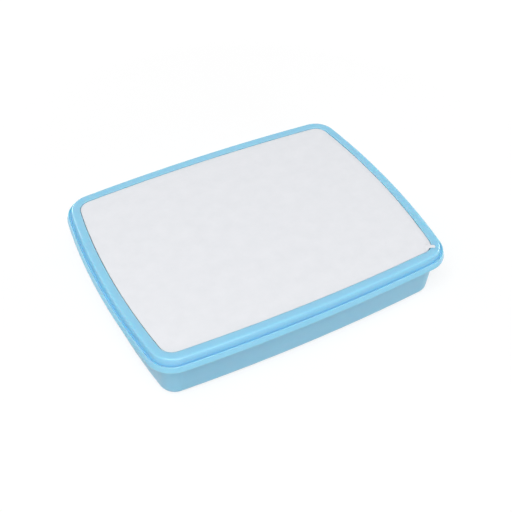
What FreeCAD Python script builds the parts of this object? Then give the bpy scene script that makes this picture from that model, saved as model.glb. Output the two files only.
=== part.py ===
import FreeCAD, Part
import math
import os
import Sketcher

# Wet palette: a moulded tray, two foam pads that hold its water, and the sheet of paper
# that paint is mixed on.
# Millimetres, +Z up, +X along the tray. The origin is on the table, under the middle of the tray.
# An inset is a distance inwards from the outline of the tray's lip. A level is a height above the table.

DRIVING_DIMENSIONS = (
    ("length", 204.0, "tray over its lip, end to end"),
    ("width", 157.6, "tray over its lip, side to side"),
    ("height", 36.6, "table to the top of the rim"),
    ("end_radius", 435.0, "bow of the two ends"),
    ("side_radius", 1200.0, "bow of the two long sides"),
    ("corner_radius", 17.2, "corner of the lip's outline"),
    ("shoulder_inset", 3.65, "outer face of the rim, drawn up to its top"),
    ("shoulder_round", 1.2, "rounded outer shoulder of the rim"),
    ("mouth_inset", 8.8, "inner edge of the rim's flat band"),
    ("mouth_round", 0.5, "rounding of that inner edge"),
    ("groove_inset", 2.45, "inner side of the groove between rim and lip, at its bottom"),
    ("groove_width", 0.75, "bottom of that groove"),
    ("groove_level", 31.6, "height of that bottom"),
    ("groove_round", 0.2, "rounding of its two corners"),
    ("crest_inset", 1.35, "inner edge of the grip lip's crest"),
    ("crest_width", 0.35, "flat top of that crest"),
    ("crest_level", 32.8, "height of that crest"),
    ("crest_round", 0.15, "rounding of its two edges"),
    ("land_level", 29.45, "where the lip's slope meets its upright edge"),
    ("land_round", 0.5, "rounding of that corner"),
    ("lip_level", 28.85, "lower edge of the grip lip"),
    ("lip_thickness", 1.6, "thickness of the lip's hanging edge"),
    ("edge_round", 0.25, "rounding of the lip's lower edge"),
    ("flange_level", 29.5, "underside of the web between lip and wall"),
    ("flange_round", 0.3, "rounding of the corners under that web"),
    ("wall_top_inset", 5.2, "outer face of the wall under the web"),
    ("wall_foot_inset", 7.25, "outer face of the wall, drawn down to the table"),
    ("base_round", 4.5, "outer rounding from wall to base"),
    ("inner_foot_inset", 9.45, "inner face of the wall at the floor"),
    ("inner_base_round", 3.0, "inner rounding from wall to floor"),
    ("floor_level", 2.8, "top of the floor"),
    ("recess_level", 0.8, "underside of the floor inside the foot ring"),
    ("foot_inset", 14.4, "inner edge of the foot ring"),
    ("foot_round", 0.3, "rounding of that edge"),
    ("floor_inset", 15.6, "where the swept wall ends and the flat floor goes on"),
    ("floor_overlap", 0.5, "how far the flat floor reaches into the swept wall"),
    ("gate_diameter", 9.0, "moulding gate's dimple under the floor"),
    ("gate_depth", 0.6, "depth of that dimple"),
    ("nub_diameter", 2.2, "cut-off sprue in the dimple"),
    ("nub_height", 0.4, "height of that sprue"),
    ("pad_inset", 10.1, "edge of both foam pads"),
    ("pad_thickness", 16.5, "thickness of one foam pad"),
    ("pad_edge_round", 0.8, "softened cut edge of a pad"),
    ("pad_base_round", 4.0, "lower pad's edge where it settles into the floor's rounding"),
    ("paper_inset", 9.15, "edge of the paper"),
    ("paper_thickness", 0.2, "thickness of the paper"),
    ("tab_start_x", 78.3, "point in the sheet's corner that the lifting tab is measured from"),
    ("tab_start_y", -61.6, "the same, across the tray"),
    ("tab_azimuth", -24.0, "direction of the tab, in degrees from +X"),
    ("tab_root", 5.6, "where the tab starts to rise, from that point"),
    ("tab_overlap", 1.0, "flat start of the tab inside the sheet"),
    ("tab_crest", 8.2, "where it has cleared the rim's inner edge"),
    ("tab_tip", 11.2, "its tip, over the rim"),
    ("tab_width", 2.2, "width of the tab"),
    ("tab_slit", 0.3, "cut in the paper beside the tab"),
    ("tab_gap", 0.15, "air between the tab and the rim's top"),
    ("tab_bend", 1.2, "bend of the tab on its hollow side"),
)

# The tray's wall, cut across at the middle of a long side: inset, level and rounding of each corner.
TRAY_SECTION = (
    ("dims.wall_foot_inset", "0", "dims.base_round"),
    ("dims.foot_inset", "0", "dims.foot_round"),
    ("dims.foot_inset", "dims.recess_level", "dims.foot_round"),
    ("dims.floor_inset", "dims.recess_level", None),
    ("dims.floor_inset", "dims.floor_level", None),
    ("dims.inner_foot_inset", "dims.floor_level", "dims.inner_base_round"),
    ("dims.mouth_inset", "dims.height", "dims.mouth_round"),
    ("dims.shoulder_inset", "dims.height", "dims.shoulder_round"),
    ("dims.groove_inset", "dims.groove_level", "dims.groove_round"),
    ("dims.groove_inset - dims.groove_width", "dims.groove_level", "dims.groove_round"),
    ("dims.crest_inset", "dims.crest_level", "dims.crest_round"),
    ("dims.crest_inset - dims.crest_width", "dims.crest_level", "dims.crest_round"),
    ("0", "dims.land_level", "dims.land_round"),
    ("0", "dims.lip_level", "dims.edge_round"),
    ("dims.lip_thickness", "dims.lip_level", "dims.edge_round"),
    ("dims.lip_thickness", "dims.flange_level", "dims.flange_round"),
    ("dims.wall_top_inset", "dims.flange_level", "dims.flange_round"),
)

LOWER_PAD_LEVEL = "dims.floor_level"
UPPER_PAD_LEVEL = "dims.floor_level + dims.pad_thickness"
PAPER_LEVEL = "dims.floor_level + 2 * dims.pad_thickness"
PAPER_TOP = PAPER_LEVEL + " + dims.paper_thickness"
TAB_LEVEL = "dims.height + dims.tab_gap"

# The lifting tab, cut along its length: distance from its starting point, level and rounding.
TAB_SECTION = (
    ("dims.tab_root - dims.tab_overlap", PAPER_LEVEL, None),
    ("dims.tab_root", PAPER_LEVEL, "dims.tab_bend + dims.paper_thickness"),
    ("dims.tab_crest", TAB_LEVEL, "dims.tab_bend"),
    ("dims.tab_tip", TAB_LEVEL, None),
    ("dims.tab_tip", TAB_LEVEL + " + dims.paper_thickness", None),
    ("dims.tab_crest", TAB_LEVEL + " + dims.paper_thickness", "dims.tab_bend + dims.paper_thickness"),
    ("dims.tab_root", PAPER_TOP, "dims.tab_bend"),
    ("dims.tab_root - dims.tab_overlap", PAPER_TOP, None),
)

START = 1
END = 2
CENTRE = 3
ORIGIN = (-1, START)
X_AXIS = -1
Y_AXIS = -2
SAME_LEVEL = 1e-6

doc = FreeCAD.newDocument("wet_palette")
sheet = doc.addObject("Spreadsheet::Sheet", "dims")
for row, (alias, size, meaning) in enumerate(DRIVING_DIMENSIONS, start=1):
    sheet.set(f"A{row}", meaning)
    sheet.set(f"B{row}", str(size))
    sheet.setAlias(f"B{row}", alias)
doc.recompute()


def value(expression):
    """The present value of an expression in the sheet's cells."""
    return float(sheet.evalExpression(expression))


def add_body(label):
    body = doc.addObject("PartDesign::Body", label)
    body.Label = label
    return body


def add_sketch(body, name, role, level="0"):
    """A sketch on one of the body's own planes, raised by level along the plane's normal."""
    plane = next(feature for feature in body.Origin.OriginFeatures if feature.Role == role)
    sketch = body.newObject("Sketcher::SketchObject", name)
    sketch.AttachmentSupport = (plane, "")
    sketch.MapMode = "FlatFace"
    sketch.setExpression("AttachmentOffset.Base.z", level)
    return sketch


def bind(sketch, expression, kind, *elements):
    """Add a dimension to the sketch and tie it to the sheet."""
    index = sketch.addConstraint(Sketcher.Constraint(kind, *elements, value(expression)))
    sketch.setExpression(f"Constraints[{index}]", expression)


def locate(sketch, geometry, position, across, up):
    """Fix a point of the sketch at two expressions, measured from the sketch's origin."""
    for expression, kind, axis in ((across, "DistanceX", Y_AXIS), (up, "DistanceY", X_AXIS)):
        distance = value(expression)
        if distance == 0:
            sketch.addConstraint(Sketcher.Constraint("PointOnObject", geometry, position, axis))
        elif distance > 0:
            bind(sketch, expression, kind, *ORIGIN, geometry, position)
        else:
            bind(sketch, f"-({expression})", kind, geometry, position, *ORIGIN)


def corner_middle():
    """Centre of the corner arc that touches both the end arc and the side arc, in the first quadrant."""
    end_centre = value("dims.length / 2 - dims.end_radius")
    side_centre = value("dims.width / 2 - dims.side_radius")
    from_end = value("dims.end_radius - dims.corner_radius")
    from_side = value("dims.side_radius - dims.corner_radius")
    apart = math.hypot(end_centre, side_centre)
    along = (from_end ** 2 - from_side ** 2 + apart ** 2) / (2 * apart)
    aside = math.sqrt(from_end ** 2 - along ** 2)
    to_side_x = -end_centre / apart
    to_side_y = side_centre / apart
    return (end_centre + along * to_side_x - aside * to_side_y, along * to_side_y + aside * to_side_x)


def draw_outline(sketch, inset):
    """The tray's plan at an inset: four bowed sides and four corner arcs, tangent all the way round."""
    end_centre = value("dims.length / 2 - dims.end_radius")
    side_centre = value("dims.width / 2 - dims.side_radius")
    corner_x, corner_y = corner_middle()
    to_end = math.atan2(corner_y, corner_x - end_centre)
    to_side = math.atan2(corner_y - side_centre, corner_x)
    half_turn = math.pi
    end_size = f"dims.end_radius - ({inset})"
    side_size = f"dims.side_radius - ({inset})"
    corner_size = f"dims.corner_radius - ({inset})"
    arcs = (
        (end_centre, 0, end_size, -to_end, to_end),
        (corner_x, corner_y, corner_size, to_end, to_side),
        (0, side_centre, side_size, to_side, half_turn - to_side),
        (-corner_x, corner_y, corner_size, half_turn - to_side, half_turn - to_end),
        (-end_centre, 0, end_size, half_turn - to_end, half_turn + to_end),
        (-corner_x, -corner_y, corner_size, half_turn + to_end, half_turn + to_side),
        (0, -side_centre, side_size, half_turn + to_side, 2 * half_turn - to_side),
        (corner_x, -corner_y, corner_size, -to_side, -to_end),
    )
    for x, y, size, first, last in arcs:
        circle = Part.Circle(FreeCAD.Vector(x, y, 0), FreeCAD.Vector(0, 0, 1), value(size))
        sketch.addGeometry(Part.ArcOfCircle(circle, first, last))
    for index in range(len(arcs)):
        following = (index + 1) % len(arcs)
        sketch.addConstraint(Sketcher.Constraint("Tangent", index, END, following, START))
    for index, (x, y, size, first, last) in enumerate(arcs):
        bind(sketch, size, "Radius", index)
    end_offset = "dims.end_radius - dims.length / 2"
    side_offset = "dims.side_radius - dims.width / 2"
    locate(sketch, 0, CENTRE, f"-({end_offset})", "0")
    locate(sketch, 2, CENTRE, "0", f"-({side_offset})")
    locate(sketch, 4, CENTRE, end_offset, "0")
    locate(sketch, 6, CENTRE, "0", side_offset)
    return [f"Edge{index + 1}" for index in range(len(arcs))]


def draw_section(sketch, corners):
    """A closed outline of straight lines with rounded corners: across, up and rounding of each."""
    points = [FreeCAD.Vector(value(across), value(up), 0) for across, up, rounding in corners]
    count = len(corners)
    ends = []
    for index, (across, up, rounding) in enumerate(corners):
        point = points[index]
        back = (points[index - 1] - point).normalize()
        ahead = (points[(index + 1) % count] - point).normalize()
        reach = value(rounding) / math.tan(back.getAngle(ahead) / 2) if rounding else 0
        ends.append((point + back * reach, point + ahead * reach))
    for index in range(count):
        sketch.addGeometry(Part.LineSegment(ends[index][1], ends[(index + 1) % count][0]))
    for index, (across, up, rounding) in enumerate(corners):
        before = (index - 1) % count
        if rounding is None:
            sketch.addConstraint(Sketcher.Constraint("Coincident", before, END, index, START))
            locate(sketch, index, START, across, up)
            continue
        first, last = ends[index]
        middle = first + last - points[index] * 2
        size = value(rounding)
        reach = (first - points[index]).Length
        centre = points[index] + middle.normalize() * math.hypot(size, reach)
        start_angle = math.atan2(first.y - centre.y, first.x - centre.x)
        end_angle = math.atan2(last.y - centre.y, last.x - centre.x)
        turn = (end_angle - start_angle) % (2 * math.pi)
        forward = turn < math.pi
        sweep = (start_angle, end_angle) if forward else (end_angle, start_angle)
        circle = Part.Circle(centre, FreeCAD.Vector(0, 0, 1), size)
        arc = sketch.addGeometry(Part.ArcOfCircle(circle, *sweep))
        entry, leaving = (START, END) if forward else (END, START)
        sketch.addConstraint(Sketcher.Constraint("Tangent", before, END, arc, entry))
        sketch.addConstraint(Sketcher.Constraint("Tangent", arc, leaving, index, START))
        bind(sketch, rounding, "Radius", arc)
        corner = sketch.addGeometry(Part.Point(points[index]), True)
        sketch.addConstraint(Sketcher.Constraint("PointOnObject", corner, START, before))
        sketch.addConstraint(Sketcher.Constraint("PointOnObject", corner, START, index))
        locate(sketch, corner, START, across, up)


def draw_disc(sketch, diameter):
    """A circle about the sketch's origin."""
    circle = Part.Circle(FreeCAD.Vector(0, 0, 0), FreeCAD.Vector(0, 0, 1), value(diameter) / 2)
    index = sketch.addGeometry(circle)
    sketch.addConstraint(Sketcher.Constraint("Coincident", index, CENTRE, *ORIGIN))
    bind(sketch, diameter, "Diameter", index)


def add_pad(body, name, sketch, length):
    pad = body.newObject("PartDesign::Pad", name)
    pad.Profile = sketch
    pad.setExpression("Length", length)
    doc.recompute()
    return pad


def cut_upwards(body, name, sketch, depth):
    """Cut the sketch's outline up into the body, and stop if that takes nothing away."""
    before = body.Shape.Volume
    pocket = body.newObject("PartDesign::Pocket", name)
    pocket.Profile = sketch
    pocket.Reversed = True
    pocket.setExpression("Length", depth)
    doc.recompute()
    if body.Shape.Volume >= before:
        raise RuntimeError(f"{name} cuts nothing")


def round_edges(body, name, base, level, size):
    """Round every edge of the base feature that lies all round at a level."""
    height = value(level)
    at_level = []
    for index, edge in enumerate(base.Shape.Edges, start=1):
        box = edge.BoundBox
        if abs(box.ZMin - height) < SAME_LEVEL and abs(box.ZMax - height) < SAME_LEVEL:
            at_level.append(f"Edge{index}")
    fillet = body.newObject("PartDesign::Fillet", name)
    fillet.Base = (base, at_level)
    fillet.setExpression("Radius", size)
    doc.recompute()
    return fillet


def make_tray():
    """One moulded shell: its section swept round the outline, closed by the flat floor."""
    body = add_body("tray")
    path = add_sketch(body, "lip_outline", "XY_Plane")
    path_edges = draw_outline(path, "0")
    section = add_sketch(body, "wall_section", "YZ_Plane")
    corners = []
    for inset, level, rounding in TRAY_SECTION:
        corners.append((f"{inset} - dims.width / 2", level, rounding))
    draw_section(section, corners)
    doc.recompute()
    wall = body.newObject("PartDesign::AdditivePipe", "wall_and_rim")
    wall.Profile = section
    wall.Spine = (path, path_edges)
    doc.recompute()
    floor_plan = add_sketch(body, "floor_outline", "XY_Plane", "dims.recess_level")
    draw_outline(floor_plan, "dims.floor_inset - dims.floor_overlap")
    add_pad(body, "floor", floor_plan, "dims.floor_level - dims.recess_level")
    dimple_plan = add_sketch(body, "gate_outline", "XY_Plane", "dims.recess_level")
    draw_disc(dimple_plan, "dims.gate_diameter")
    cut_upwards(body, "gate_dimple", dimple_plan, "dims.gate_depth")
    nub_level = "dims.recess_level + dims.gate_depth - dims.nub_height"
    nub_plan = add_sketch(body, "nub_outline", "XY_Plane", nub_level)
    draw_disc(nub_plan, "dims.nub_diameter")
    add_pad(body, "gate_nub", nub_plan, "dims.nub_height")
    return body


def make_foam_pad(label, level, base_round):
    """A pad cut from sheet foam, its edges softened."""
    body = add_body(label)
    plan = add_sketch(body, f"{label}_outline", "XY_Plane", level)
    draw_outline(plan, "dims.pad_inset")
    slab = add_pad(body, f"{label}_slab", plan, "dims.pad_thickness")
    bottom = round_edges(body, f"{label}_bottom_edge", slab, level, base_round)
    round_edges(body, f"{label}_top_edge", bottom, f"{level} + dims.pad_thickness", "dims.pad_edge_round")
    return body


def turn_to_tab(sketch, level):
    """Move a sketch on the XZ or XY plane to the tab's starting point, and turn it along the tab."""
    upright = sketch.AttachmentSupport[0][0].Role == "XZ_Plane"
    axis = FreeCAD.Vector(0, 1, 0) if upright else FreeCAD.Vector(0, 0, 1)
    turn = FreeCAD.Rotation(axis, value("dims.tab_azimuth"))
    sketch.AttachmentOffset = FreeCAD.Placement(FreeCAD.Vector(0, 0, 0), turn)
    sketch.setExpression("AttachmentOffset.Base.x", "dims.tab_start_x")
    sketch.setExpression("AttachmentOffset.Base.y", "0" if upright else "dims.tab_start_y")
    sketch.setExpression("AttachmentOffset.Base.z", "-dims.tab_start_y" if upright else level)
    sketch.setExpression("AttachmentOffset.Rotation.Angle", "dims.tab_azimuth")


def make_paper():
    """A thin sheet on the foam, with a narrow tab at one corner that is bent up over the rim."""
    body = add_body("palette_paper")
    plan = add_sketch(body, "paper_outline", "XY_Plane", PAPER_LEVEL)
    draw_outline(plan, "dims.paper_inset")
    add_pad(body, "paper_sheet", plan, "dims.paper_thickness")
    slit_plan = add_sketch(body, "tab_slit_outline", "XY_Plane", PAPER_LEVEL)
    turn_to_tab(slit_plan, PAPER_LEVEL)
    half_slit = "(dims.tab_width / 2 + dims.tab_slit)"
    draw_section(slit_plan, (
        ("dims.tab_root", f"-{half_slit}", None),
        ("dims.tab_tip", f"-{half_slit}", None),
        ("dims.tab_tip", half_slit, None),
        ("dims.tab_root", half_slit, None),
    ))
    cut_upwards(body, "tab_slit", slit_plan, "dims.paper_thickness")
    tab_side = add_sketch(body, "tab_section", "XZ_Plane")
    turn_to_tab(tab_side, "0")
    draw_section(tab_side, TAB_SECTION)
    tab = add_pad(body, "tab", tab_side, "dims.tab_width")
    tab.Midplane = True
    doc.recompute()
    return body


def check(body):
    """Stop if a feature failed or the piece isn't one sound solid, and say what it measures."""
    shape = body.Shape
    if shape.isNull() or not shape.isValid() or len(shape.Solids) != 1:
        raise RuntimeError(f"{body.Label} is not one valid solid")
    box = shape.optimalBoundingBox(False, False)
    size = f"{box.XLength:.2f} x {box.YLength:.2f} x {box.ZLength:.2f} mm"
    print(f"{body.Label}: {size}, from {box.ZMin:.2f} up, {shape.Volume / 1000:.2f} cm3")


pieces = [
    make_tray(),
    make_foam_pad("lower_foam_pad", LOWER_PAD_LEVEL, "dims.pad_base_round"),
    make_foam_pad("upper_foam_pad", UPPER_PAD_LEVEL, "dims.pad_edge_round"),
    make_paper(),
]
doc.recompute()
for item in doc.Objects:
    if "Invalid" in item.State or "Error" in item.State:
        raise RuntimeError(f"{item.Label} failed: {item.State}")
os.makedirs("parts", exist_ok=True)
for piece in pieces:
    check(piece)
for piece in pieces:
    piece.Shape.exportStep(f"parts/{piece.Label}.step")
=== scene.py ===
# %% [markdown]
# A wet palette keeps mixed paint moist. Soaked foam lies in a moulded tray, and paint is mixed on a
# sheet of paper that drinks from the foam. The CAD frame already holds every piece at its real size
# and in its place, so this lesson adds what the eye needs: a camera, soft light, and four finished
# pieces. Everything is in metres, in the frame's own axes.

# %% Load the CAD frame
import bmesh
import bpy
import math
from mathutils import Matrix, Vector, noise


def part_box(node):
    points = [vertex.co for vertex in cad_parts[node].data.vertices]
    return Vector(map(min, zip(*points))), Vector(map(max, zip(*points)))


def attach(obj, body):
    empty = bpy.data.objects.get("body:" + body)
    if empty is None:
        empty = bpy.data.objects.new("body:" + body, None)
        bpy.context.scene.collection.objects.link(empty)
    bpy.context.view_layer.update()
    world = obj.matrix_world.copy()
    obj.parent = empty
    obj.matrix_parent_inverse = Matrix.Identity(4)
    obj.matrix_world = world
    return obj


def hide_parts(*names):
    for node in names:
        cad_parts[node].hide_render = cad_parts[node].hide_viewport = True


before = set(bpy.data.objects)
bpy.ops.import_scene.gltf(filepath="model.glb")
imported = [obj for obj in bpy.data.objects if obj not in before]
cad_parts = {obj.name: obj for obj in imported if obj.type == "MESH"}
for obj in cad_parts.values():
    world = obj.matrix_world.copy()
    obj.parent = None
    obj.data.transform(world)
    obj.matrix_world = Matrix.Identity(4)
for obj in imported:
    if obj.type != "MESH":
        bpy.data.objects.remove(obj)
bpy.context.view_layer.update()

MM = 0.001
scene = bpy.context.scene
scene.view_settings.view_transform = "Standard"
print("nodes:", ", ".join(sorted(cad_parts)))

# %% [markdown]
# The camera comes first, because every other choice is judged through it. The photograph was taken
# from above one long side, turned a little to the left, with a moderate lens. A camera can be aimed
# with a constraint, but a matrix built from azimuth, elevation and roll says the same thing in a few
# numbers and leaves nothing to track.

# %% Camera at the photograph's viewpoint
AZIMUTH = math.radians(-29.06)
ELEVATION = math.radians(45.63)
ROLL = math.radians(1.23)
AIM = Vector((-7.28, -17.86, 29.6)) * MM
DISTANCE = 533.6 * MM
LENS_MM = 62.33


def camera_axes():
    """Right, up and backward directions of the camera, rolled about the line of sight."""
    level = math.cos(ELEVATION)
    back = Vector((math.sin(AZIMUTH) * level, -math.cos(AZIMUTH) * level, math.sin(ELEVATION)))
    right = Vector((math.cos(AZIMUTH), math.sin(AZIMUTH), 0.0))
    up = back.cross(right)
    rolled_right = math.cos(ROLL) * right + math.sin(ROLL) * up
    rolled_up = math.cos(ROLL) * up - math.sin(ROLL) * right
    return rolled_right, rolled_up, back


camera = bpy.data.objects.new("camera", bpy.data.cameras.new("camera"))
scene.collection.objects.link(camera)
right, up, back = camera_axes()
turned = Matrix((right, up, back)).transposed()
camera.matrix_world = Matrix.LocRotScale(AIM + back * DISTANCE, turned, None)
camera.data.lens = LENS_MM
scene.camera = camera
print("camera at", [round(axis, 3) for axis in camera.location])

# %% [markdown]
# Three small helpers serve every finish. Colours are written as sRGB hex, as a colour picker shows
# them, and the first helper turns them into the linear values that shaders take. The second empties
# the node tree of a material or a world. The third adds one node, sets its properties, and fills each
# input with either a plain value or a link, so that a finish reads from top to bottom.

# %% Helpers for colours and shader nodes
def linear(hex_colour):
    """An sRGB hex colour as linear RGBA, by the curve of the sRGB standard."""
    channels = [int(hex_colour[place:place + 2], 16) / 255 for place in (1, 3, 5)]
    straight = [c / 12.92 if c <= 0.04045 else ((c + 0.055) / 1.055) ** 2.4 for c in channels]
    return (*straight, 1.0)


def empty_tree(holder):
    """The node tree of a material or a world, with nothing in it yet."""
    holder.use_nodes = True
    holder.node_tree.nodes.clear()
    return holder.node_tree


def add_node(tree, kind, inputs=None, **settings):
    """Add one shader node: settings are its properties, inputs are socket values or links."""
    made = tree.nodes.new(kind)
    for name, setting in settings.items():
        setattr(made, name, setting)
    for socket, source in (inputs or {}).items():
        if isinstance(source, bpy.types.NodeSocket):
            tree.links.new(source, made.inputs[socket])
        else:
            made.inputs[socket].default_value = source
    return made


print("the grey #808080 is", round(linear("#808080")[0], 3), "in linear light")

# %% [markdown]
# The palette stands on a wide pale floor, like white card in a light tent. One flat face is enough,
# because only its paint matters. It lies a hair below the tray's foot, so that the two never share a
# surface.

# %% A wide floor
FLOOR_SIZE = 6.0
FLOOR_DROP = 0.05 * MM

half = FLOOR_SIZE / 2
floor_corners = [(-half, -half), (half, -half), (half, half), (-half, half)]
floor_mesh = bpy.data.meshes.new("floor")
floor_mesh.from_pydata([(x, y, -FLOOR_DROP) for x, y in floor_corners], [], [(0, 1, 2, 3)])
floor = bpy.data.objects.new("floor", floor_mesh)
scene.collection.objects.link(floor)
print("floor", FLOOR_SIZE, "m wide")

# %% [markdown]
# A picture on white has a ground that reads as white and still holds a soft shadow. More light would
# do that, but it would wash out the palette, so the paint does it instead. Rays that look at the
# floor, straight or in a reflection, find a glow over grey paint. The grey takes the shadow, and the
# glow grows to full white away from the tray. Rays that only carry light find plain pale paint, so the
# palette is lit as it would be by real card.

# %% Painted floor
FLOOR_PAINT = "#bebebe"
SHADOW_PAINT = "#868686"
FLOOR_GLOW = 0.775
SHADOW_REACH = 0.25
WHITE_FROM = 0.70


def seen_directly(tree):
    """A socket that is 1 for rays that look at the stage, straight or by gloss or glass."""
    path = add_node(tree, "ShaderNodeLightPath")
    glossy = add_node(tree, "ShaderNodeMath", {
        0: path.outputs["Is Camera Ray"],
        1: path.outputs["Is Glossy Ray"],
    }, operation="MAXIMUM")
    either = add_node(tree, "ShaderNodeMath", {
        0: glossy.outputs[0],
        1: path.outputs["Is Transmission Ray"],
    }, operation="MAXIMUM")
    return either.outputs[0]


floor_material = bpy.data.materials.new("card_painted_white")
tree = empty_tree(floor_material)
seen = seen_directly(tree)
place = add_node(tree, "ShaderNodeTexCoord").outputs["Object"]
away = add_node(tree, "ShaderNodeVectorMath", {0: place}, operation="LENGTH")
glow_level = add_node(tree, "ShaderNodeMapRange", {
    "Value": away.outputs["Value"],
    "From Min": SHADOW_REACH,
    "From Max": WHITE_FROM,
    "To Min": FLOOR_GLOW,
})
glow_seen = add_node(tree, "ShaderNodeMath", {0: seen, 1: glow_level.outputs[0]}, operation="MULTIPLY")
glow = add_node(tree, "ShaderNodeEmission", {"Strength": glow_seen.outputs[0]})
pale = add_node(tree, "ShaderNodeBsdfDiffuse", {"Color": linear(FLOOR_PAINT)})
grey = add_node(tree, "ShaderNodeBsdfDiffuse", {"Color": linear(SHADOW_PAINT)})
paint = add_node(tree, "ShaderNodeMixShader", {0: seen, 1: pale.outputs[0], 2: grey.outputs[0]})
ground = add_node(tree, "ShaderNodeAddShader", {0: paint.outputs[0], 1: glow.outputs[0]})
add_node(tree, "ShaderNodeOutputMaterial", {"Surface": ground.outputs[0]})
floor_mesh.materials.append(floor_material)
print("floor glows from", FLOOR_GLOW, "near the tray to 1 at", WHITE_FROM, "m")

# %% [markdown]
# Round the floor stands the light tent itself, an even white in every direction. The world can play
# that part without any mesh. It works as the floor does: white where it is looked at, and much gentler
# where it lights the palette, so that the softboxes can still shape the form.

# %% Light tent
TENT_WHITE = "#ffffff"
TENT_LIGHT = 0.136

tent = bpy.data.worlds.new("light_tent")
scene.world = tent
tree = empty_tree(tent)
strength = add_node(tree, "ShaderNodeMapRange", {"Value": seen_directly(tree), "To Min": TENT_LIGHT})
walls = add_node(tree, "ShaderNodeBackground", {
    "Color": linear(TENT_WHITE),
    "Strength": strength.outputs[0],
})
add_node(tree, "ShaderNodeOutputWorld", {"Surface": walls.outputs[0]})
print("light tent at", TENT_LIGHT)

# %% [markdown]
# Five softboxes stand round the palette, as in a small product studio. The key hangs above, in front
# and to the left. It lights the sheet and the groove, and draws the highlight along the rim's shoulder.
# Four low ones light the walls from the front, the back and both ends, so that no side goes dull. Each
# is an area lamp, because a softbox is a glowing square and its size is what softens the shadow.

# %% Softboxes
SOFTBOXES = {
    "key_softbox": {"place": (-0.54, -0.62, 1.53), "size": 1.05, "watts": 22.5},
    "front_softbox": {"place": (0.0, -1.12, 0.24), "size": 0.45, "watts": 3.4},
    "back_softbox": {"place": (-0.41, 1.03, 0.30), "size": 0.5, "watts": 4.8},
    "left_softbox": {"place": (-1.11, 0.0, 0.30), "size": 0.5, "watts": 1.2},
    "right_softbox": {"place": (1.11, 0.0, 0.30), "size": 0.5, "watts": 5.6},
}
for name, box in SOFTBOXES.items():
    lamp = bpy.data.lights.new(name, "AREA")
    lamp.size = box["size"]
    lamp.energy = box["watts"]
    softbox = bpy.data.objects.new(name, lamp)
    softbox.location = box["place"]
    softbox.rotation_euler = (AIM - softbox.location).to_track_quat("-Z", "Y").to_euler()
    scene.collection.objects.link(softbox)
    print(name, box["watts"], "W at", box["place"])

# %% [markdown]
# The tray is injection-moulded polypropylene. Its colour is in the plastic, so it hardly varies: there
# are only faint clouds where the melt flowed. The CAD solid has the right shape already, so the tray
# keeps its node and takes only a finish, built up in three steps. The first is the colour: a wide noise
# in the plastic's own space mixes two blues that are almost alike.

# %% Blue of the moulded polypropylene
TRAY_BLUE = "#93cfec"
TRAY_BLUE_DEEP = "#8fcce9"
FLOW_CLOUD = 45 * MM
# A Mix node has sockets for each kind of value. These are the places of its two colours and their mix.
COLOUR_A = 6
COLOUR_B = 7
MIXED_COLOUR = 2

tray_plastic = bpy.data.materials.new("polypropylene_moulded_blue")
tree = empty_tree(tray_plastic)
place = add_node(tree, "ShaderNodeTexCoord").outputs["Object"]
cloud = add_node(tree, "ShaderNodeTexNoise", {"Vector": place, "Scale": 1 / FLOW_CLOUD, "Detail": 3.0})
tint = add_node(tree, "ShaderNodeMix", {
    "Factor": cloud.outputs["Fac"],
    COLOUR_A: linear(TRAY_BLUE_DEEP),
    COLOUR_B: linear(TRAY_BLUE),
}, data_type="RGBA")
print("flow clouds", round(FLOW_CLOUD / MM), "mm wide")

# %% [markdown]
# A moulding copies the skin of its mould. The wall of this mould was spark-eroded, which leaves a fine
# grain, and its rim was polished. The height above the table tells the two apart, so no mask has to be
# painted. One grain drives both the gloss and the relief, because on the real wall they are one thing.

# %% Satin wall and polished rim
WALL_TOP = 28.0 * MM
RIM_FOOT = 30.5 * MM
# A spark-eroded grain is about 0.1 mm wide. It is drawn some ten times as coarse, so that it shows.
MOULD_GRAIN = 1.1 * MM
GRAIN_DEPTH = 0.02 * MM
GRAIN_ON_WALL = 0.22
GRAIN_ON_RIM = 0.05
# The grain spreads the wall's gloss into a satin sheen. The polished rim keeps a crisper highlight.
SATIN_SMOOTHEST = 0.30
SATIN_ROUGHEST = 0.42
POLISHED = 0.22

height = add_node(tree, "ShaderNodeSeparateXYZ", {"Vector": place}).outputs["Z"]
polish = add_node(tree, "ShaderNodeMapRange", {
    "Value": height,
    "From Min": WALL_TOP,
    "From Max": RIM_FOOT,
}).outputs["Result"]
grain = add_node(tree, "ShaderNodeTexNoise", {
    "Vector": place,
    "Scale": 1 / MOULD_GRAIN,
    "Detail": 2.0,
}).outputs["Fac"]
satin = add_node(tree, "ShaderNodeMapRange", {
    "Value": grain,
    "To Min": SATIN_SMOOTHEST,
    "To Max": SATIN_ROUGHEST,
}).outputs["Result"]
gloss = add_node(tree, "ShaderNodeMapRange", {"Value": polish, "To Min": satin, "To Max": POLISHED})
bite = add_node(tree, "ShaderNodeMapRange", {
    "Value": polish,
    "To Min": GRAIN_ON_WALL,
    "To Max": GRAIN_ON_RIM,
})
relief = add_node(tree, "ShaderNodeBump", {
    "Height": grain,
    "Strength": bite.outputs["Result"],
    "Distance": GRAIN_DEPTH,
})
print("grain drawn", round(MOULD_GRAIN / MM, 1), "mm wide, below", round(RIM_FOOT / MM, 1), "mm")

# %% [markdown]
# Polypropylene is never quite opaque. Light goes a few millimetres into it, scatters, and comes out
# again beside the place where it went in. A plain diffuse surface would leave the groove under the
# shoulder hard and dark, so the shader's subsurface part carries most of the colour. The finish then
# goes into the tray's own material slot, and its mesh is left alone.

# %% Milky plastic on the tray
PLASTIC_IOR = 1.49
# The scattered light softens the groove and makes the thin lip glow. Red goes the shortest way in blue.
MILKINESS = 0.6
LIGHT_REACH = 4.0 * MM
RED_GREEN_BLUE_REACH = (0.6, 1.4, 1.2)

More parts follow.
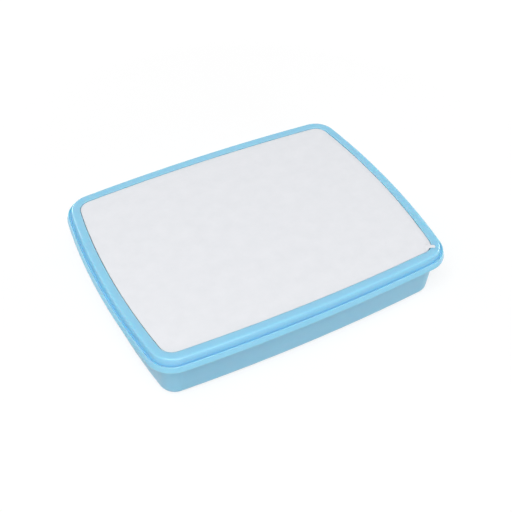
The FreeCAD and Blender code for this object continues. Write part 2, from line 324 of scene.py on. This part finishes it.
skin = add_node(tree, "ShaderNodeBsdfPrincipled", {
    "Base Color": tint.outputs[MIXED_COLOUR],
    "Roughness": gloss.outputs["Result"],
    "Normal": relief.outputs["Normal"],
    "IOR": PLASTIC_IOR,
    "Subsurface Weight": MILKINESS,
    "Subsurface Radius": RED_GREEN_BLUE_REACH,
    "Subsurface Scale": LIGHT_REACH,
})
add_node(tree, "ShaderNodeOutputMaterial", {"Surface": skin.outputs["BSDF"]})
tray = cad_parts["tray"]
tray.material_slots[0].material = tray_plastic
print("tray keeps its CAD node, with", tray_plastic.name)

# %% [markdown]
# The water is held by two pads of open-cell polyurethane foam. Every cut face shows opened cells, which
# look like a fine speckle of pits between pale walls. A Voronoi pattern divides space into just such
# cells, and its distance from each cell's middle gives both the depth of a pit and its painted shade,
# darker towards the middle, where light reaches less far in. The pattern fills space, so it needs no
# unwrapping and runs on round every edge.

# %% Open-cell polyurethane foam
FOAM_WHITE = "#eceadf"
# Painted shade: the foam is one colour, and this darker tone in each cell's middle stands in for the
# shade in its pit.
FOAM_PIT_PAINTED_SHADE = "#d3d0c4"
# The cells of such foam are about 0.6 mm wide. They are drawn about twice as wide, so that they show.
FOAM_CELL = 1.3 * MM
PIT_MIDDLE = 0.1
PIT_EDGE = 0.6
PIT_DEPTH = 0.4 * MM
PIT_STRENGTH = 0.5
# Open cells swallow light and scatter it, so foam looks chalky, with next to no gloss.
FOAM_ROUGHNESS = 0.95
FOAM_SPECULAR = 0.2

foam = bpy.data.materials.new("polyurethane_foam_open_cell")
tree = empty_tree(foam)
place = add_node(tree, "ShaderNodeTexCoord").outputs["Object"]
cells = add_node(tree, "ShaderNodeTexVoronoi", {"Vector": place, "Scale": 1 / FOAM_CELL})
wall_share = add_node(tree, "ShaderNodeMapRange", {
    "Value": cells.outputs["Distance"],
    "From Min": PIT_MIDDLE,
    "From Max": PIT_EDGE,
}).outputs["Result"]
# Painted shade: each cell is darker towards its middle, in place of the shade inside a pit.
tint = add_node(tree, "ShaderNodeMix", {
    "Factor": wall_share,
    COLOUR_A: linear(FOAM_PIT_PAINTED_SHADE),
    COLOUR_B: linear(FOAM_WHITE),
}, data_type="RGBA")
relief = add_node(tree, "ShaderNodeBump", {
    "Height": wall_share,
    "Strength": PIT_STRENGTH,
    "Distance": PIT_DEPTH,
})
sponge = add_node(tree, "ShaderNodeBsdfPrincipled", {
    "Base Color": tint.outputs[MIXED_COLOUR],
    "Normal": relief.outputs["Normal"],
    "Roughness": FOAM_ROUGHNESS,
    "Specular IOR Level": FOAM_SPECULAR,
})
add_node(tree, "ShaderNodeOutputMaterial", {"Surface": sponge.outputs["BSDF"]})
print("foam cells drawn", round(FOAM_CELL / MM, 2), "mm across")

# %% [markdown]
# The pads are cut from a block with a hot wire, which leaves flat faces and slightly wavy sides. The
# CAD pad is a plain slab in the right place, so each pad starts as a copy of it. A voxel remesh gives
# it an even skin of small faces, and each point of that skin then sinks a little, by the sponge's own
# lumps everywhere and by the wire's waves on the sides. Points only ever sink, so the pad stays inside
# its slab. Cloth would be the way for a sewn cushion, but a cut slab has no cover to inflate.

# %% Cut the two foam pads
FOAM_MESH = 1.4 * MM
SPONGE_LUMP = 2.6 * MM
SPONGE_DEPTH = 0.22 * MM
CUT_WAVE = 24 * MM
CUT_DEPTH = 0.35 * MM


def ripple(spot, length):
    """A smooth random share from 0 to 1, whose waves are about one length wide."""
    return (1 + noise.noise(spot / length)) / 2


def cut_foam_pad(node_name):
    """A foam pad in the place of its CAD slab, its surface sunk unevenly by the cells and the cut."""
    pad = bpy.data.objects.new(f"{node_name}_foam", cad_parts[node_name].data.copy())
    scene.collection.objects.link(pad)
    remesh = pad.modifiers.new("even_skin", "REMESH")
    remesh.mode = "VOXEL"
    remesh.voxel_size = FOAM_MESH
    remesh.use_smooth_shade = True
    remeshed = pad.evaluated_get(bpy.context.evaluated_depsgraph_get())
    mesh = bpy.data.meshes.new_from_object(remeshed)
    pad.modifiers.clear()
    pad.data = mesh
    low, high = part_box(node_name)
    sunk = []
    for vertex in mesh.vertices:
        sideways = 1 - abs(vertex.normal.z)
        depth = SPONGE_DEPTH * ripple(vertex.co, SPONGE_LUMP)
        depth += CUT_DEPTH * ripple(vertex.co, CUT_WAVE) * sideways
        spot = vertex.co - vertex.normal * max(depth, 0.0)
        sunk += (spot.x, spot.y, min(max(spot.z, low.z), high.z))
    mesh.vertices.foreach_set("co", sunk)
    mesh.materials.clear()
    mesh.materials.append(foam)
    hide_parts(node_name)
    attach(pad, node_name)
    print(pad.name, len(mesh.polygons), "faces, up to", round(high.z / MM, 1), "mm")


for node_name in ("lower_foam_pad", "upper_foam_pad"):
    cut_foam_pad(node_name)

# %% [markdown]
# The paper is die-cut to the tray's own plan: four bowed sides joined by round corners. A plane could
# be trimmed to that, but the plan is only eight arcs, so a few lines of geometry draw it exactly. A
# corner arc touches an end arc and a side arc from inside, and its middle is where two circles round
# their middles cross.

# %% Arcs of the tray's plan
LENGTH = 204.0 * MM
WIDTH = 157.6 * MM
END_RADIUS = 435.0 * MM
SIDE_RADIUS = 1200.0 * MM
CORNER_RADIUS = 17.2 * MM


def corner_middle():
    """Middle of the corner arc that touches an end arc and a side arc, in the first quadrant."""
    end = Vector((LENGTH / 2 - END_RADIUS, 0.0))
    side = Vector((0.0, WIDTH / 2 - SIDE_RADIUS))
    from_end = END_RADIUS - CORNER_RADIUS
    from_side = SIDE_RADIUS - CORNER_RADIUS
    apart = (side - end).length
    along = (from_end ** 2 - from_side ** 2 + apart ** 2) / (2 * apart)
    aside = math.sqrt(from_end ** 2 - along ** 2)
    ahead = (side - end) / apart
    return end + ahead * along + Vector((-ahead.y, ahead.x)) * aside


def arc_points(centre, radius, first, last, step):
    """Points along an arc, its first end included, no further apart than a step."""
    count = math.ceil(abs(last - first) * radius / step)
    angles = [first + (last - first) * index / count for index in range(count)]
    return [Vector((centre[0] + radius * math.cos(a), centre[1] + radius * math.sin(a))) for a in angles]


print("corner arcs turn about", [round(axis / MM, 1) for axis in corner_middle()], "mm")

# %% [markdown]
# The sheet lies a constant distance inside the tray's edge, and an arc moved inwards is the same arc
# with a smaller radius. So the outline needs no offset tool. It goes anticlockwise round an end, a
# corner, a side and a corner, and half a turn further the same four arcs close it. Corners get closer
# points than sides, because they bend more.

# %% The sheet's outline
PAPER_INSET = 9.15 * MM
SIDE_STEP = 3.0 * MM
CORNER_STEP = 0.5 * MM


def bowed_outline(inset):
    """The tray's plan at an inset, anticlockwise: four bowed sides and four round corners."""
    corner = corner_middle()
    end_x = LENGTH / 2 - END_RADIUS
    side_y = WIDTH / 2 - SIDE_RADIUS
    to_end = math.atan2(corner.y, corner.x - end_x)
    to_side = math.atan2(corner.y - side_y, corner.x)
    points = []
    for turn in (0, math.pi):
        sign = math.cos(turn)
        over = turn + math.pi
        mirrored = (-sign * corner.x, sign * corner.y)
        arcs = (
            ((sign * end_x, 0), END_RADIUS, turn - to_end, turn + to_end, SIDE_STEP),
            (sign * corner, CORNER_RADIUS, turn + to_end, turn + to_side, CORNER_STEP),
            ((0, sign * side_y), SIDE_RADIUS, turn + to_side, over - to_side, SIDE_STEP),
            (mirrored, CORNER_RADIUS, over - to_side, over - to_end, CORNER_STEP),
        )
        for centre, radius, first, last, step in arcs:
            points += arc_points(centre, radius - inset, first, last, step)
    return points


outline = bowed_outline(PAPER_INSET)
print("outline of", len(outline), "points")

# %% [markdown]
# At one corner a narrow tab of the same paper reaches over the rim, so that the wet sheet can be peeled
# off by it. Everything about it is easier in its own two directions, along the tab and across it. So the
# first step is a helper that turns any point of the plan into those two distances, and it soon finds
# which points of the outline lie across the tab's root.

# %% The lifting tab's own directions
TAB_START = Vector((78.3, -61.6)) * MM
TAB_AZIMUTH = math.radians(-24.0)
TAB_OUT = Vector((math.cos(TAB_AZIMUTH), math.sin(TAB_AZIMUTH)))
TAB_ACROSS = Vector((-TAB_OUT.y, TAB_OUT.x))
TAB_HALF = 1.1 * MM


def on_tab(point):
    """A point's distance along the tab from its start, and aside of the tab's middle line."""
    offset = Vector(point[:2]) - TAB_START
    return offset.dot(TAB_OUT), offset.dot(TAB_ACROSS)


def in_tab(point):
    """Whether a point of the outline lies across the tab's root."""
    along, aside = on_tab(point)
    return along > 0 and abs(aside) < TAB_HALF


covered = [index for index, point in enumerate(outline) if in_tab(point)]
print(len(covered), "points of the outline lie across the tab's root")

# %% [markdown]
# The tab is cut from the same piece of paper, and a separate strip would show a seam at its root. So it
# becomes part of the sheet's outline: the points across its root are taken out, and its own edge, with
# a rounded tip, goes in there. Where the outline meets each side of the tab, one point closes the join.

# %% Set the tab into the outline
TAB_TIP = 11.2 * MM
TAB_TIP_ROUND = 0.7 * MM
TIP_STEP = 0.2 * MM
QUARTER = math.pi / 2


def tab_edge():
    """The tab's edge, anticlockwise round its tip."""
    points = []
    for side, turn in ((-1, -QUARTER), (1, 0.0)):
        pivot = TAB_START + TAB_OUT * (TAB_TIP - TAB_TIP_ROUND)
        pivot += TAB_ACROSS * side * (TAB_HALF - TAB_TIP_ROUND)
        first = TAB_AZIMUTH + turn
        points += arc_points(pivot, TAB_TIP_ROUND, first, first + QUARTER, TIP_STEP)
    points.append(pivot + TAB_ACROSS * TAB_TIP_ROUND)
    return points


def crossing(outside, inside, side):
    """Where the outline, going from one point to the next, meets one side of the tab."""
    far = on_tab(outside)[1] - side * TAB_HALF
    near = on_tab(inside)[1] - side * TAB_HALF
    return outside.lerp(inside, far / (far - near))


first, last = covered[0], covered[-1]
low_root = crossing(outline[first - 1], outline[first], -1)
high_root = crossing(outline[last + 1], outline[last], 1)
outline[first:last + 1] = [low_root, *tab_edge(), high_root]
print("outline with its tab has", len(outline), "points")

# %% [markdown]
# Damp paper lies almost flat on its foam, but it cockles: it swells unevenly into low, wide waves. They
# die out towards the edge, where the sheet clings to the pad. At the tab the paper bends up to clear
# the rim. A cloth simulation could find such a form, but the waves are a fifth of a millimetre high,
# so a formula for the height at each place gives it directly and the same way each time.

# %% How high the paper lies
PAPER_LOW, PAPER_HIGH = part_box("palette_paper")
PAPER_THICKNESS = 0.2 * MM
PAPER_TOP = PAPER_LOW.z + PAPER_THICKNESS
TAB_RISE = PAPER_HIGH.z - PAPER_TOP
RISE_START = 4.8 * MM
RISE_END = 8.1 * MM
RISE_SPREAD = 1.3 * MM
COCKLE = 0.22 * MM
COCKLE_LENGTH = 30 * MM
FLAT_EDGE = 12 * MM


def smooth_step(low, high, value):
    """0 below low, 1 above high, and an easy rise between."""
    share = min(max((value - low) / (high - low), 0.0), 1.0)
    return share * share * (3 - 2 * share)


def edge_distance(x, y):
    """How far a point lies inside the sheet's bowed edge, corners aside."""
    from_end = END_RADIUS - math.hypot(abs(x) + END_RADIUS - LENGTH / 2, y)
    from_side = SIDE_RADIUS - math.hypot(x, abs(y) + SIDE_RADIUS - WIDTH / 2)
    return min(from_end, from_side) - PAPER_INSET


def paper_height(x, y):
    """How high the sheet's top lies: a slight cockle that dies out at the edge, and the tab's rise."""
    along, aside = on_tab((x, y))
    beside = max(abs(aside) - TAB_HALF, 0.0)
    lifted = smooth_step(RISE_START, RISE_END, along) * math.exp(-(beside / RISE_SPREAD) ** 2)
    cockle = COCKLE * ripple(Vector((x, y, 0.0)), COCKLE_LENGTH)
    cockle *= smooth_step(0.0, FLAT_EDGE, edge_distance(x, y))
    return PAPER_TOP + lifted * TAB_RISE + (1 - lifted) * cockle


print("paper's top at", round(paper_height(0.0, 0.0) / MM, 2), "mm in the middle of the sheet")

# %% [markdown]
# A single face can't bend, so the outline's one face is cut into a grid before its points are lifted.
# Bisecting it along straight lines keeps the outline exact and leaves square cells, where a fill by
# triangles would shade in streaks. Only the tab needs small cells, so the grid is finer there. A
# Solidify modifier then gives the sheet its thickness, downwards from the top face.

# %% Lay the sheet
CM = 0.01
GRID = 3.0 * MM
TAB_GRID = 0.43 * MM
TAB_REACH = 11 * MM
SAME_POINT = 0.01 * MM


def cut_grid(mesh, step, middle, reach, near):
    """Cut the faces near a place into an even grid of square cells, in lines along x and y."""
    count = math.ceil(reach / step)
    for axis in (Vector((1, 0, 0)), Vector((0, 1, 0))):
        for index in range(-count, count):
            faces = [face for face in mesh.faces if (face.calc_center_median() - middle).length < near]
            edges = {edge for face in faces for edge in face.edges}
            corners = {corner for face in faces for corner in face.verts}
            bmesh.ops.bisect_plane(
                mesh, geom=[*corners, *edges, *faces], dist=SAME_POINT,
                plane_co=middle + axis * (index + 0.5) * step, plane_no=axis)


sheet = bmesh.new()
sheet.faces.new([sheet.verts.new((point.x, point.y, 0.0)) for point in outline])
cut_grid(sheet, GRID, Vector(), LENGTH / 2, LENGTH)
cut_grid(sheet, TAB_GRID, (TAB_START + TAB_OUT * TAB_REACH / 2).to_3d(), TAB_REACH, TAB_REACH)
flat_area = sum(face.calc_area() for face in sheet.faces)
for vertex in sheet.verts:
    vertex.co.z = paper_height(vertex.co.x, vertex.co.y)
for face in sheet.faces:
    face.smooth = True
for edge in sheet.edges:
    edge.smooth = not edge.is_boundary
paper_mesh = bpy.data.meshes.new("palette_paper_sheet")
sheet.to_mesh(paper_mesh)
sheet.free()
paper = bpy.data.objects.new("palette_paper_sheet", paper_mesh)
scene.collection.objects.link(paper)
thickness = paper.modifiers.new("thickness", "SOLIDIFY")
thickness.thickness = PAPER_THICKNESS
thickness.offset = -1.0
print("paper of", len(paper_mesh.polygons), "faces,", round(flat_area / CM ** 2, 1), "cm2 flat")

# %% [markdown]
# Grease-proof paper is made of finely beaten pulp, pressed between rollers. Held to the light it is
# cloudy, because the pulp settles unevenly, and that shows as faint mottling in its white. Its fibres
# raise the surface by next to nothing. Two layers of noise do both: a wide one for the colour and one
# as fine as a fibre is long for the relief.

# %% Grease-proof paper
PAPER_WHITE = "#edeef2"
PAPER_SHADE = "#e3e5e9"
PULP_CLOUD = 9 * MM
FIBRE_LENGTH = 1.6 * MM
# Fibres stand out by about a hundredth of a millimetre. They are drawn deeper, so that they show.
FIBRE_DEPTH = 0.05 * MM
FIBRE_STRENGTH = 0.25
# Soaked through, the sheet has lost most of the gloss of its rollers, so it looks matt and even.
PAPER_ROUGHNESS = 0.78
PAPER_SPECULAR = 0.2

paper_white = bpy.data.materials.new("paper_greaseproof_calendered")
tree = empty_tree(paper_white)
place = add_node(tree, "ShaderNodeTexCoord").outputs["Object"]
cloud = add_node(tree, "ShaderNodeTexNoise", {
    "Vector": place,
    "Scale": 1 / PULP_CLOUD,
    "Detail": 4.0,
    "Roughness": 0.6,
})
tint = add_node(tree, "ShaderNodeMix", {
    "Factor": cloud.outputs["Fac"],
    COLOUR_A: linear(PAPER_SHADE),
    COLOUR_B: linear(PAPER_WHITE),
}, data_type="RGBA")
fibre = add_node(tree, "ShaderNodeTexNoise", {"Vector": place, "Scale": 1 / FIBRE_LENGTH, "Detail": 3.0})
relief = add_node(tree, "ShaderNodeBump", {
    "Height": fibre.outputs["Fac"],
    "Strength": FIBRE_STRENGTH,
    "Distance": FIBRE_DEPTH,
})
pulp = add_node(tree, "ShaderNodeBsdfPrincipled", {
    "Base Color": tint.outputs[MIXED_COLOUR],
    "Normal": relief.outputs["Normal"],
    "Roughness": PAPER_ROUGHNESS,
    "Specular IOR Level": PAPER_SPECULAR,
})
add_node(tree, "ShaderNodeOutputMaterial", {"Surface": pulp.outputs["BSDF"]})
paper_mesh.materials.append(paper_white)
print("paper has", paper_white.name)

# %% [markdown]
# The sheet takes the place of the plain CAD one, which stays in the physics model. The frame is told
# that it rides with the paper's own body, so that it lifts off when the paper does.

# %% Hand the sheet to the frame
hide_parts("palette_paper")
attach(paper, "palette_paper")
